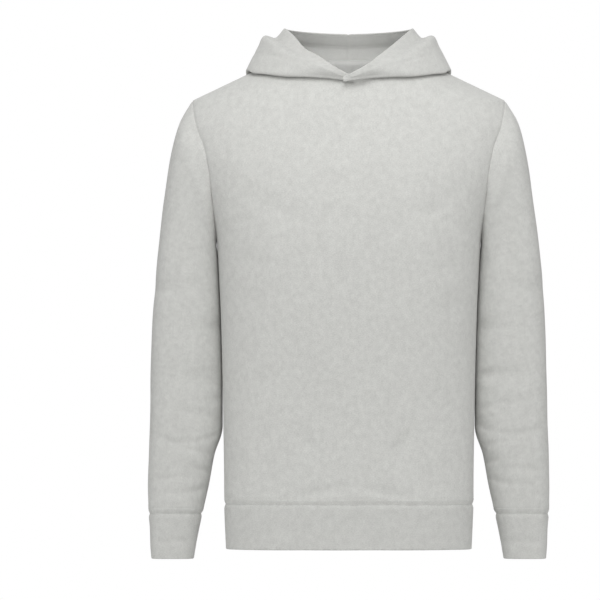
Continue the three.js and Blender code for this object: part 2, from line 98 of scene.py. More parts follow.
# Rows of stitches: distances from the seam or free edge, and the groove below each, half width and depth
HEM_STITCH_LINES = (4.6, 8.4)
CUFF_STITCH_LINES = (4.4, 8.0)
HOOD_STITCH_LINES = (18.0, 22.5)
BAND_GROOVE = (0.9, 0.45)
HOOD_GROOVE = (1.2, 0.5)
LEAST_GROOVED_WALL = 45
LEAST_STITCHED_WALL = 60

# Puckers beside a gathered seam: depth, distance of the deepest, reach
PANEL_PUCKERS = (0.6, 6, 9)
HEM_PUCKERS = (0.6, 0, 13)
SLEEVE_PUCKERS = (0.55, 5, 9)
CUFF_PUCKERS = (0.5, 0, 11)

# Height of the low soft waves, and millimetres to a degree round a sleeve
PANEL_WAVES, SLEEVE_WAVES, HEM_WAVES = 0.8, 0.7, 0.9
TURN_LENGTH = 1.1

# A panel's neck edge: share by which it is thinner, and how far down
NECK_THINNING, NECK_THINNING_REACH = 0.6, 4

# Near the armpit no seam is let in: from which z upwards, and downwards, it comes back, and over what length
SEAM_FADE_ABOVE = (-215, 50)
SEAM_FADE_BELOW = (-330, 40)

# A sleeve's creases: how far from its head and its cuff they are at full depth, over how many degrees they
# fade beside the body, and how much lower they are on one sleeve and higher on the other
HEAD_FADE, CUFF_FADE = 30, 12
BODY_SIDE_FADE = 30
SLEEVE_SHIFT = 6

# The strip of a sleeve that runs on under the panels: its width, and how far it sinks
SLEEVE_FLANGE, FLANGE_DROP = 3.2, 1.5

# A deep crease thins the wall by this share of its depth, down to this depth
THINNING, DEEPEST_THINNING = 0.5, 2.0

# Borders that close up: nearest place, likeness of their normals, and how far in a shared normal reaches
SAME_PLACE = 4.0
SAME_WAY = 0.1
NORMAL_REACH = 2.5

# Moving points to a distance from the body
SETTLE_STEPS = 14
SETTLE_REACH = 0.5
SETTLE_LIMIT = 12
LEAST_STEEPNESS = 1e-4

# Degrees: the steps of the soft fold at a double edge, and from which angle on a mesh's edge is sharp
FOLD_TURNS = (45, 90, 135)
SHARP_ANGLE = 60

# Body sections: z, half width to the armhole or side, full half width, front depth, back depth
BODY_SECTIONS = [
    (-700, 174, 174, 110, 110),
    (-634, 176.5, 176.5, 113, 113),
    (-580, 177, 177, 116, 115),
    (-520, 178, 178, 118, 117),
    (-430, 179.8, 179.8, 123, 119),
    (-345, 182.6, 182.6, 128, 121),
    (-262, 187, 187, 130, 126),
    (-210, 192.6, 200, 128, 130),
    (-162, 198.6, 218, 122, 129),
    (-128, 205.6, 231, 114, 124),
    (-98, 216.5, 238, 105, 117),
    (-62, 222, 222, 94, 108),
    (-30, 155, 155, 80, 92),
    (0, 92, 92, 66, 76),
]

# Sleeve rings: outer x, outer z, inner x, inner z, half depth, middle y
SLEEVE_RINGS = [
    (222, -62, 187, -262, 54, -8),
    (241, -96.6, 187.4, -268, 56, -8),
    (252, -139, 186.4, -276, 53, -8),
    (262, -203, 185, -292, 50, -8),
    (272, -288, 182.8, -326, 47, -8),
    (278, -373, 180.6, -390, 44.5, -7),
    (281, -450, 179, -455, 42.5, -6),
    (282.5, -522, 178.8, -522, 40.5, -4),
    (284, -565, 190.6, -565, 38, -2),
    (285, -608, 198.6, -608, 36, 2),
    (284, -648, 207.8, -648, 33, 5),
]
CUFF_RINGS = [
    (284, -648, 207.8, -648, 33, 5),
    (282.4, -671, 212.6, -671, 32, 6),
    (281.8, -693, 216.8, -693, 30.5, 6.5),
    (280.4, -711, 219.8, -711, 29, 6.5),
]

# Hood ribs: angle round the neck, fold x y z, crest x y z, edge x y z, fold radius, bulge, dip
HOOD_RIBS = [
    (-5, -8, -86, -35, -8, -88.5, -33.5, -8, -88.5, -31.5, 2.2, 0, 0),
    (6, 12, -86, -31.5, 11, -90, -28, 6, -90, -24.5, 2.3, 0, 0),
    (18, 32, -83, -29.5, 30, -91, -20, 25, -89, -14, 2.6, 0.5, 0),
    (32, 58, -77, -29, 52, -84, -11, 44, -76, 0.5, 3.2, 1, 0),
    (48, 87, -66, -31, 80, -67, 1, 62, -54, 15, 3.0, 1.2, 2),
    (65, 111, -51, -30.5, 103.5, -42, 13.5, 77, -28, 28, 2.3, 0.5, 5),
    (82, 128.5, -27, -34.5, 115.5, -12, 24.5, 88, -4, 37.5, 1.9, 0.3, 8.5),
    (98, 130.5, 8, -39, 119.5, 20, 29.5, 91, 22, 40, 1.9, 0.5, 8.5),
    (114, 125, 48, -58, 117, 60, 28, 86, 56, 39, 4, 2, 8),
    (132, 116, 94, -105, 97, 98, 22, 70, 90, 37.5, 9, 10, 4),
    (150, 87, 126, -175, 65.5, 126, 16.5, 46, 112, 36, 10, 18, 1),
    (165, 46, 137, -222, 33, 138, 14, 23, 121, 35, 10, 24, 0),
    (180, 0, 141, -240, 0, 142, 13, 0, 124, 34.5, 10, 26, 0),
]

# The hood on the panels: gap at the neck, how far its first row lies below the neck edge, extra gap
# where it lies on them, and the wall length from which that gap is full
NECK_GAP = 1.5
NECK_LAP = 3
FLOOR_CLEARANCE = 0.8
SPREAD_LENGTH = 60

# The hood's wall: place of the dip from crest to edge, and the y of its middle
DIP_PLACE = 0.55
HOOD_MIDDLE_Y = 20

# The upper front edge: how far it stands out over the lower one, up to which x fully, and up to which at all
LAP_STEP = 8.8
LAP_FULL_X = 12
LAP_END_X = 36

# The soft kink in the free edge of the wearer's right half, with its angle and reach in degrees
KINK_DEPTH, KINK_ANGLE, KINK_REACH = 5.5, 48, 13

# Soft troughs of the panels, which the part's own solids have too:
# face, x, z, half length, half width, turn in degrees, depth
BODY_TROUGHS = [
    (-1, -70, -585, 62, 15, 8, 3.6),
    (-1, 72, -575, 58, 15, -10, 3.2),
    (-1, -118, -209, 48, 13, -64, 2.4),
    (-1, 120, -215, 46, 13, 62, 2.2),
    (-1, -150, -470, 60, 16, 62, 2.6),
    (-1, 146, -500, 56, 16, -58, 2.4),
    (1, -62, -520, 70, 17, 10, 3.6),
    (1, 78, -560, 60, 16, -8, 3.2),
    (1, -122, -226, 50, 14, -56, 3.4),
    (1, 124, -220, 48, 14, 56, 3.2),
    (1, 8, -420, 84, 22, 88, 3.0),
]

# Finer creases of the panels; a depth below zero is a ridge
BODY_CREASES = [
    (-1, -115, -309, 120, 17, 8.5, -2.5),
    (-1, 120, -302, 120, 17, -8.5, -2.5),
    (-1, -160, -236, 34, 8, 66, 2.2),
    (-1, -152, -288, 42, 9, -82, 2.0),
    (-1, 158, -242, 34, 8, -64, 2.2),
    (-1, 154, -296, 40, 9, 80, 1.9),
    (-1, -142, -345, 46, 10, -58, 1.7),
    (-1, 146, -352, 44, 10, 60, 1.6),
    (-1, -58, -548, 26, 9, -38, 2.9),
    (-1, 76, -548, 27, 9, 36, 2.9),
    (-1, -46, -617, 36, 6, 80, 2.3),
    (-1, 52, -617, 36, 6, -80, 2.3),
    (-1, -21, -43, 10, 5, 52, 1.7),
    (-1, 30, -43, 10, 5, -52, 1.7),
    (1, -112, -320, 100, 18, 10, -2.3),
    (1, 116, -312, 104, 18, -9, -2.3),
    (1, -154, -250, 36, 9, 62, 2.2),
    (1, 156, -244, 36, 9, -66, 2.2),
    (1, -66, -566, 28, 9, -34, 2.8),
    (1, 60, -580, 28, 9, 40, 2.6),
    (1, 4, -616, 44, 6, 86, 2.0),
]

# Soft troughs of a sleeve: turn round the sleeve in degrees, z, half turn, half height, depth
SLEEVE_TROUGHS = [
    (-62, -384, 46, 11, 4.0),
    (-28, -452, 40, 12, 3.0),
    (-70, -520, 44, 11, 3.2),
    (200, -400, 48, 12, 4.0),
    (236, -470, 44, 12, 3.4),
    (40, -330, 40, 14, 2.6),
    (-100, -330, 34, 12, 2.6),
]

# Finer creases of a sleeve: turn, z, half turn, half height, depth, slant in millimetres a degree
SLEEVE_CREASES = [
    (-58, -300, 32, 11, 1.8, 0.3),
    (-48, -458, 34, 5.5, 2.5, 0.12),
    (-56, -478, 30, 4.5, 2.0, -0.14),
    (-30, -503, 42, 5, 1.7, 0.2),
    (-46, -532, 36, 5, 2.1, -0.16),
    (-34, -556, 40, 4.5, 1.7, 0.18),
    (-48, -580, 34, 5, 2.2, 0.08),
    (-36, -608, 38, 5, 2.1, -0.12),
    (18, -538, 38, 5, 1.3, 0.16),
    (24, -592, 34, 5, 1.3, -0.1),
    (196, -440, 36, 6, 2.0, 0.16),
    (214, -500, 38, 5, 1.8, -0.18),
    (206, -545, 38, 5, 2.0, 0.14),
    (218, -590, 36, 5, 2.0, -0.1),
]

# Creases of the hood's outside: side, x, z, half length, half width, turn, depth
HOOD_CREASES = [
    (-1, -110, 1.5, 21, 3.6, 98, 1.2),
    (-1, -104, 12, 16, 3.2, 108, 0.7),
    (1, 94, -5, 20, 3.6, 75, 1.2),
    (1, 104, 8, 16, 3.2, 66, 0.7),
]

# Where those creases lie: middle row, reach in rows, and the y that they stay in front of
CREASED_ROW, CREASED_REACH, CREASED_BEFORE_Y = 6.5, 1.6, 60

# Folds of a cuff: distance from its seam, half width, turn round the cuff, half turn, depth
CUFF_FOLDS = [
    (40, 5, -12, 46, 1.7),
    (44, 6, 190, 46, 1.2),
]


def mix(a, b, part):
    return a + (b - a) * part


def read_table(rows, place, column):
    """A smooth curve through one column of a table, at any place among its rows."""
    values = np.array([row[column] for row in rows], float)
    last = len(values) - 1
    at = np.clip(np.asarray(place, float), 0, last)
    row = np.minimum(np.floor(at).astype(int), last - 1)
    part = at - row
    step = np.diff(values)
    product = step[:-1] * step[1:]
    total = np.where(product > 0, step[:-1] + step[1:], 1)
    slope = np.concatenate(([step[0]], np.where(product > 0, 2 * product / total, 0), [step[-1]]))
    square, cube = part**2, part**3
    return (
        values[row] * (2 * cube - 3 * square + 1)
        + slope[row] * (cube - 2 * square + part)
        + values[row + 1] * (3 * square - 2 * cube)
        + slope[row + 1] * (cube - square)
    )


def body_place(z):
    return np.interp(z, [row[0] for row in BODY_SECTIONS], range(len(BODY_SECTIONS)))


def half_width(z, column=1):
    """Half the width at a height: to the armhole or side seam, or with column 2 of the whole body."""
    shoulder = mix(SHOULDER_X, NECK_HALF, (z - SHOULDER_Z) / -SHOULDER_Z)
    return np.where(z > SHOULDER_Z, shoulder, read_table(BODY_SECTIONS, body_place(z), column))


def section_y(out, z, face, relief):
    depth = read_table(BODY_SECTIONS, body_place(z), 3 if face < 0 else 4)
    arch = np.maximum(0, 1 - out**PANEL_SQUARENESS) ** SECTION_ROUNDNESS
    return face * (depth - relief) * arch


def seam_middle(z):
    up = np.clip((z - ARMPIT_Z) / (SHOULDER_Z - ARMPIT_Z), 0, 1)
    return SIDE_SEAM_Y * (1 - up)


def border_y(z, face):
    out = np.minimum(1, half_width(z) / half_width(z, 2))
    return seam_middle(z) + section_y(out, z, face, 0)


def unevenness(x, z, shift):
    """Low soft waves that keep cloth from looking pressed."""
    wide = 0.55 * np.sin(x / 34 + shift) * np.sin(z / 52 + 0.4 + shift)
    slanting = 0.35 * np.sin(x / 19 + z / 33 + 2 * shift)
    small = 0.18 * np.sin(z / 12.5 - x / 37 + shift) * np.sin(x / 14 + 0.7)
    return wide + slanting + small


def crease(x, z, at_x, at_z, half_length, half_breadth, turn, deep):
    """How far one soft trough lets the cloth in."""
    angle = math.radians(turn)
    along = ((x - at_x) * math.sin(angle) + (z - at_z) * math.cos(angle)) / half_length
    across = ((x - at_x) * math.cos(angle) - (z - at_z) * math.sin(angle)) / half_breadth
    return deep * np.exp(-(along**2) - across**2)


def panel_relief(x, z, face):
    depth = PANEL_WAVES * unevenness(x, z, 1.3 + face)
    for side, *shape in BODY_TROUGHS + BODY_CREASES:
        if side == face:
            depth = depth + crease(x, z, *shape)
    return depth


def panel_y(x, z, face):
    out = np.minimum(1, np.abs(x) / half_width(z, 2))
    at_edge = np.minimum(1, np.abs(x) / half_width(z))
    relief = panel_relief(x, z, face) * (1 - at_edge**EDGE_POWER)
    return seam_middle(z) * at_edge**2 + section_y(out, z, face, relief)


def on_panel(x, z, face):
    x, z = np.broadcast_arrays(np.asarray(x, float), np.asarray(z, float))
    return np.stack([x, panel_y(x, z, face), z], axis=-1)


def neckline(angle):
    """Neckline points at angles round the neck: 0 is the centre front, 180 the centre back."""
    forward = np.cos(np.radians(angle))
    x = NECK_HALF * np.sin(np.radians(angle))
    front_z = -NECK_DROP_FRONT * np.maximum(forward, 0) ** NECK_CURVE
    z = np.where(forward > 0, front_z, NECK_DROP_BACK * forward)
    z = np.minimum(z, -1e-6)
    return np.where((forward > 0)[..., None], on_panel(x, z, -1), on_panel(x, z, 1))


def fine_places(last, steps, ends):
    """Evenly spaced places from 0 to last, with the extra places given in from both ends."""
    count = max(last, int(round(last * steps * DETAIL)))
    places = list(np.linspace(0, last, count + 1)) + list(ends) + [last - end for end in ends]
    return np.unique(np.round(places, 5))


def side_border(row):
    turn = mix(-90, 90, (row - SIDE_ROWS) / ARMHOLE_ROWS)
    up = np.sin(np.radians(turn))
    low_z = mix(HEM_SEAM_Z, ARMPIT_Z, row / SIDE_ROWS)
    z = np.where(row <= SIDE_ROWS, low_z, mix(ARMPIT_Z, SHOULDER_Z, (up + 1) / 2))
    x = np.where(row <= SIDE_ROWS, half_width(low_z), half_width(z))
    return x, z


def top_border(column, face):
    from_middle = np.abs(column - PANEL_COLUMNS / 2)
    neck_steps = NECK_COLUMNS / 2
    angle = 90 * np.minimum(from_middle, neck_steps) / neck_steps
    neck = neckline(angle if face < 0 else 180 - angle)
    part = (from_middle - neck_steps) / SHOULDER_COLUMNS
    x = np.where(from_middle <= neck_steps, neck[..., 0], mix(NECK_HALF, SHOULDER_X, part))
    z = np.where(from_middle <= neck_steps, neck[..., 2], mix(0, SHOULDER_Z, part))
    return np.sign(column - PANEL_COLUMNS / 2) * x, z


def panel_grid(face):
    """The panel's outside face, as the part works it out, at many more places."""
    rows = fine_places(SIDE_ROWS + ARMHOLE_ROWS, PANEL_ROW_STEPS, PANEL_ROW_ENDS)
    columns = fine_places(PANEL_COLUMNS, PANEL_COLUMN_STEPS, PANEL_COLUMN_ENDS)
    row, column = np.meshgrid(rows, columns, indexing="ij")
    side_x, side_z = side_border(row)
    top_x, top_z = top_border(column, face)
    up = (side_z - HEM_SEAM_Z) / (SHOULDER_Z - HEM_SEAM_Z)
    across = -np.cos(np.pi * column / PANEL_COLUMNS)
    bottom = half_width(np.float64(HEM_SEAM_Z))
    x = mix(bottom * across, top_x, up) + side_x * across - mix(bottom, SHOULDER_X, up) * across
    z = mix(HEM_SEAM_Z, top_z, up) + side_z - mix(HEM_SEAM_Z, SHOULDER_Z, up)
    return on_panel(x, z, face)


def armhole_points(turn, side):
    """The armhole seam at turns round the sleeve: 90 is the shoulder tip, -90 the armpit, 0 the front."""
    z = mix(ARMPIT_Z, SHOULDER_Z, (np.sin(np.radians(turn)) + 1) / 2)
    y = np.where(np.cos(np.radians(turn)) > 0, border_y(z, -1), border_y(z, 1))
    return np.stack([side * half_width(z), y, z], axis=-1)


def limb_grid(table, side, rows, from_armhole):
    """Rings of a sleeve or cuff, for the wearer's left (1) or right (-1), and the turn of each point."""
    turns = np.linspace(-90, 270, int(LIMB_TURN_STEPS * DETAIL) + 1)[:-1]
    place, turn = np.meshgrid(rows, turns, indexing="ij")
    values = [read_table(table, place, column) for column in range(6)]
    outer_x, outer_z, inner_x, inner_z, half_depth, middle_y = values
    sine, cosine = np.sin(np.radians(turn)), np.cos(np.radians(turn))
    power = 2 / SLEEVE_SQUARENESS
    part = (np.sign(sine) * np.abs(sine) ** power + 1) / 2
    forward = np.sign(cosine) * np.abs(cosine) ** power
    points = np.stack([side * mix(inner_x, outer_x, part), middle_y - half_depth * forward,
                       mix(inner_z, outer_z, part)], axis=-1)
    if from_armhole:
        fade = np.maximum(0, 1 - place / SLEEVE_HEAD_REACH)[..., None] ** 2
        points = points + (armhole_points(turn[:1], side) - points[:1]) * fade
    return points, turn


def sleeve_relief(turn, z, side):
    depth = SLEEVE_WAVES * unevenness(turn * TURN_LENGTH, z, 0.6 + side)
    for at_turn, at_z, half_turn, half_height, deep in SLEEVE_TROUGHS:
        round_it = ((turn - at_turn + 540) % 360 - 180) / half_turn
        depth = depth + deep * np.exp(-(round_it**2) - ((z - at_z) / half_height) ** 2)
    for at_turn, at_z, half_turn, half_height, deep, slant in SLEEVE_CREASES:
        away = (turn - at_turn + 540) % 360 - 180
        height = z - at_z - SLEEVE_SHIFT * side - slant * away
        depth = depth + deep * np.exp(-((away / half_turn) ** 2) - (height / half_height) ** 2)
    return depth


def grid_normals(points, closed):
    if closed:
        across = np.roll(points, -1, axis=1) - np.roll(points, 1, axis=1)
    else:
        across = np.gradient(points, axis=1)
    up = np.gradient(points, axis=0)
    normals = np.cross(across, up)
    return normals / np.maximum(np.linalg.norm(normals, axis=-1, keepdims=True), 1e-12)


def arc_lengths(points, axis):
    steps = np.linalg.norm(np.diff(points, axis=axis), axis=-1)
    zero = np.zeros_like(np.take(steps, [0], axis=axis))
    return np.concatenate([zero, np.cumsum(steps, axis=axis)], axis=axis)


def body_field(point):
    """Below zero inside the body's outside face and above zero out of it."""
    z = np.minimum(point[..., 2], 0)
    out = np.abs(point[..., 0]) / half_width(z, 2)
    at_edge = np.minimum(1, np.abs(point[..., 0]) / half_width(z))
    from_middle = point[..., 1] - seam_middle(z) * at_edge**2
    place = body_place(z)
    front, back = read_table(BODY_SECTIONS, place, 3), read_table(BODY_SECTIONS, place, 4)
    depth = np.where(point[..., 1] < 0, front, back)
    deep = np.abs(from_middle) / depth
    above = np.maximum(0, point[..., 2]) / NECK_HALF
    return deep ** (1 / SECTION_ROUNDNESS) + out**PANEL_SQUARENESS - 1 + above


def settle(points, clearance):
    """Moves points to a distance from the body's outside face, and gives the way straight out."""
    points = points.copy()
    for _ in range(SETTLE_STEPS):
        slopes = [
            (body_field(points + step) - body_field(points - step)) / (2 * SETTLE_REACH)
            for step in SETTLE_REACH * np.eye(3)
        ]
        normal = np.stack(slopes, axis=-1)
        steepness = np.maximum(np.linalg.norm(normal, axis=-1, keepdims=True), LEAST_STEEPNESS)
        normal = normal / steepness
        move = clearance - body_field(points)[..., None] / steepness
        points += normal * np.clip(move, -SETTLE_LIMIT, SETTLE_LIMIT)
    return points, normal


def unit(vectors):
    return vectors / np.maximum(np.linalg.norm(vectors, axis=-1, keepdims=True), 1e-9)


def smooth_chain(controls, places):
    """Points along a centripetal curve through control points, which lie along the first axis."""
    count = len(controls)
    out = []
    for place in places:
        index = min(int(place), count - 2)
        part = place - index
        p1, p2 = controls[index], controls[index + 1]
        p0 = controls[index - 1] if index > 0 else 2 * p1 - p2
        p3 = controls[index + 2] if index + 2 < count else 2 * p2 - p1
        d0, d1, d2 = (
            np.maximum(np.linalg.norm(b - a, axis=-1, keepdims=True), 1e-6) ** 0.5
            for a, b in ((p0, p1), (p1, p2), (p2, p3))
        )
        t1 = ((p1 - p0) / d0 - (p2 - p0) / (d0 + d1) + (p2 - p1) / d1) * d1
        t2 = ((p2 - p1) / d1 - (p3 - p1) / (d1 + d2) + (p3 - p2) / d2) * d1
        c2 = -3 * p1 + 3 * p2 - 2 * t1 - t2
        c3 = 2 * p1 - 2 * p2 + t1 + t2
        out.append(p1 + t1 * part + c2 * part**2 + c3 * part**3)
    return np.stack(out)


def hood_grid(side):
    """The hood's mid surface, rib by rib, from the neck seam over the fold to the free edge."""
    ribs = fine_places(len(HOOD_RIBS) - 1, RIB_STEPS, RIB_ENDS)
    value = [read_table(HOOD_RIBS, ribs, column) for column in range(13)]
    angle, radius, bulge, dip_depth = value[0], value[10], value[11], value[12]
    fold, crest, edge = (np.stack(value[start : start + 3], axis=-1) for start in (1, 4, 7))
    if side < 0:
        edge[:, 2] -= KINK_DEPTH * np.exp(-(((angle - KINK_ANGLE) / KINK_REACH) ** 2))
    spread = np.minimum(1, np.linalg.norm(fold - edge, axis=-1) / SPREAD_LENGTH)[:, None]
    seam_gap = HOOD_CLOTH / 2 + NECK_GAP
    floor_gap = seam_gap + FLOOR_CLEARANCE * spread
    neck = neckline(angle)
    neck[:, 0] = NECK_HALF * np.sin(np.radians(angle))
    reach = np.linalg.norm(fold - neck, axis=-1, keepdims=True)
    start, _ = settle(mix(neck, fold, np.minimum(0.5, NECK_LAP / reach)), seam_gap)
    floor_end, normal = settle(fold, floor_gap)
    first, _ = settle(mix(start, floor_end, 1 / 3), floor_gap)
    second, _ = settle(mix(start, floor_end, 2 / 3), floor_gap)
    onwards = unit(floor_end - second)
    radius = radius[:, None]
    fold_point = floor_end + (normal + onwards) * radius
    wall_start = floor_end + normal * 2 * radius
    outwards = unit((crest - [0, HOOD_MIDDLE_Y, 0]) * [1, 1, 0]) * bulge[:, None]
    wall = [mix(wall_start, crest, third) + outwards for third in (1 / 3, 2 / 3)]
    dip = mix(crest, edge, DIP_PLACE)
    dip[:, 2] -= dip_depth
    controls = np.stack([start, first, second, floor_end, fold_point, wall_start, *wall, crest, dip, edge])
    stretches = [np.linspace(low, high, int(steps * DETAIL) + 1) for low, high, steps in HOOD_STRETCHES]
    rows = np.unique(np.concatenate([*stretches, HOOD_EDGE_ROWS]))
    points = smooth_chain(controls, rows)
    lap = np.clip((LAP_END_X - points[..., 0]) / (LAP_END_X - LAP_FULL_X), 0, 1)
    lap = np.where((points[..., 1] < 0) & (side > 0), lap * lap * (3 - 2 * lap), 0)
    points[..., 1] -= LAP_STEP * lap
    points[..., 0] *= side
    return points, rows


def wall_mesh(name, outer, inner, closed, rounded, uv):
    """One closed wall of cloth. Its last row ends in a soft fold if rounded is set, else in a cut edge."""
    rows, columns = outer.shape[:2]
    edge_rows = []
    if rounded:
        middle = (outer[-1] + inner[-1]) / 2
        half = (outer[-1] - inner[-1]) / 2
        onwards = unit(outer[-1] - outer[-2]) * np.linalg.norm(half, axis=-1, keepdims=True)
        edge_rows = [
            middle + half * math.cos(turn) + onwards * math.sin(turn) for turn in np.radians(FOLD_TURNS)
        ]
    strips = [*outer, *edge_rows, *inner[::-1]]
    points = np.concatenate(strips)
    count = len(strips)
    span = columns if closed else columns - 1
    first = np.arange(span)
    after = (first + 1) % columns
    faces = []
    for strip in range(count):
        low, high = strip * columns, ((strip + 1) % count) * columns
        faces.append(np.stack([low + first, low + after, high + after, high + first], axis=-1))
    faces = np.concatenate(faces).tolist()
    if not closed:
        spare = len(edge_rows)
        for column, turned in ((0, False), (columns - 1, True)):
            for row in range(rows - 1):
                a, b = row * columns + column, (row + 1) * columns + column
                c, d = (count - 2 - row) * columns + column, (count - 1 - row) * columns + column
                faces.append([d, c, b, a] if turned else [a, b, c, d])
            if spare:
                ring = [(rows - 1 + k) * columns + column for k in range(spare + 2)]
                faces.append(ring[::-1] if turned else ring)
    corners = [points[[face[corner] for face in faces]] for corner in range(3)]
    if np.einsum("ij,ij->", corners[0], np.cross(corners[1], corners[2])) < 0:
        faces = [face[::-1] for face in faces]
    mesh = bpy.data.meshes.new(name)
    mesh.from_pydata((points * MM).tolist(), [], faces)
    along = np.concatenate([uv, np.repeat(uv[-1:], len(edge_rows), axis=0), uv[::-1]]).reshape(-1, 2)
    layer = mesh.uv_layers.new(name="cloth")
    corner = np.empty(len(mesh.loops), int)
    mesh.loops.foreach_get("vertex_index", corner)
    layer.data.foreach_set("uv", (along[corner] * MM).ravel())
    mesh.polygons.foreach_set("use_smooth", [True] * len(mesh.polygons))
    mesh.set_sharp_from_angle(angle=math.radians(SHARP_ANGLE))
    inside_first, inside_last = (rows + len(edge_rows)) * span, (count - 1) * span
    inside = [inside_first <= index < inside_last for index in range(len(faces))]
    mesh.polygons.foreach_set("material_index", inside)
    mesh.validate()
    piece = bpy.data.objects.new(name, mesh)
    bpy.context.collection.objects.link(piece)
    return piece


def plan_cloth(
    name, node, points, closed, thickness, material, relief, share=0.0, rounded=False, flange=0.0
):
    """One piece of cloth still to be made. Relief is how far each outside point is let in, share is how
    much of the wall lies outside the points, and flange is how far its first row runs on under the next
    piece. Its normals point away from the middle: of each row, or for the hood's wall of the neck."""
    normals = grid_normals(points, closed)
    if share > 0:
        seen, middle = slice(len(points) // 2, int(0.75 * len(points))), np.array([0, HOOD_MIDDLE_Y, 0])
    else:
        seen = slice(None)
        middle = points.mean(axis=1, keepdims=True) * ([1, 1, 1] if closed else [1, 0, 1])
    if np.sum((normals * (points - middle))[seen]) < 0:
        normals = -normals
    return {"name": name, "node": node, "points": points, "closed": closed, "thickness": thickness,
            "material": material, "relief": relief, "share": share, "rounded": rounded, "normals": normals,
            "flange": flange}


def border_lines(plan):
    """A piece's borders, each an index into its grid."""
    lines = [(0, slice(None)), (-1, slice(None))]
    return lines if plan["closed"] else lines + [(slice(None), 0), (slice(None), -1)]


def share_seam_normals(plans):
    """Gives pieces that meet at a seam one normal there, so that their outsides close up."""
    for plan in plans:
        lines = border_lines(plan)
        plan["borders"] = [(line, plan["points"][line], plan["normals"][line]) for line in lines]
    for plan in plans:
        others = [border for other in plans if other is not plan for border in other["borders"]]
        places = np.concatenate([border[1] for border in others])
        ways = np.concatenate([border[2] for border in others])
        shared = plan["normals"].copy()
        for line, own_places, own_ways in plan["borders"]:
            apart = np.linalg.norm(own_places[:, None] - places[None], axis=-1)
            near = apart.argmin(axis=1)
            alike = np.sum(own_ways * ways[near], axis=-1) > SAME_WAY
            meets = (apart.min(axis=1) < SAME_PLACE) & alike
            joint = np.where(meets[:, None], unit(own_ways + ways[near]), own_ways)
            axis = 0 if isinstance(line[0], int) else 1
            arcs = arc_lengths(plan["points"], axis)
            if (line[0] if axis == 0 else line[1]) == -1:
                arcs = np.take(arcs, [-1], axis=axis) - arcs
            weight = np.exp(-((arcs / NORMAL_REACH) ** 2))[..., None]
            shared = mix(shared, np.expand_dims(joint, axis), weight)
        plan["normals"] = unit(shared)


def make_cloth(plan):
    """Makes a planned piece: the thin wall that stands for its solid."""
    points, normals, relief = plan["points"], plan["normals"], plan["relief"][..., None]
    thickness, share, closed = plan["thickness"], plan["share"], plan["closed"]
    if np.ndim(thickness):
        thickness = thickness[..., None]
    outer = points + normals * (thickness * share - relief)
    thinning = THINNING * np.clip(relief, 0, DEEPEST_THINNING)
    inner = points + normals * (thickness * (share - 1) - (relief - thinning))
    across = arc_lengths(points, 1)
    uv = np.stack([across - across[:, across.shape[1] // 2][:, None], -arc_lengths(points, 0)], axis=-1)
    if plan["flange"] > 0:
        seam = np.roll(points[0], -1, axis=0) - np.roll(points[0], 1, axis=0)
        onwards = unit(np.cross(seam, normals[0]))
        if np.sum(onwards[:, 0]) * np.sum(points[0, :, 0]) > 0:
            onwards = -onwards
        onwards = onwards * plan["flange"] - normals[0] * FLANGE_DROP
        outer = np.concatenate([outer[:1] + onwards, outer])
        inner = np.concatenate([inner[:1] + onwards, inner])
        uv = np.concatenate([uv[:1] + [0, plan["flange"]], uv])
    piece = wall_mesh(plan["name"], outer, inner, closed, plan["rounded"], uv)
    piece.data.materials.append(plan["material"])
    # The inside faces take the paler fleece, painted light in the neck and hood
    piece.data.materials.append(fleece_inside_painted_light)
    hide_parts(plan["node"])
    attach(piece, "root")
    outer_normals = grid_normals(outer, closed)
    if np.sum(outer_normals[-len(normals):] * normals) < 0:
        outer_normals = -outer_normals
    return {"piece": piece, "outer": outer, "normals": outer_normals, "closed": closed}


# Speckles of the fleece: scale, detail, roughness, and the values that become 0 and 1
FLECKS = (420, 4, 0.65, 0.36, 0.66)
FIBRES = (1500, 3, 0.6, 0.32, 0.68)
CLOUDS = (120, 3, 0.55, 0.3, 0.7)
FLECK_SHARE, FIBRE_SHARE, CLOUD_SHARE = 0.42, 0.34, 0.24

# The knit: width of a column and height of a row, how far loops lean, its height, and that of the bump
WALE, COURSE = 1.5, 1.2
LOOP_LEAN = 2.4
KNIT_HEIGHT = 0.25
BUMP_HEIGHT = 0.35


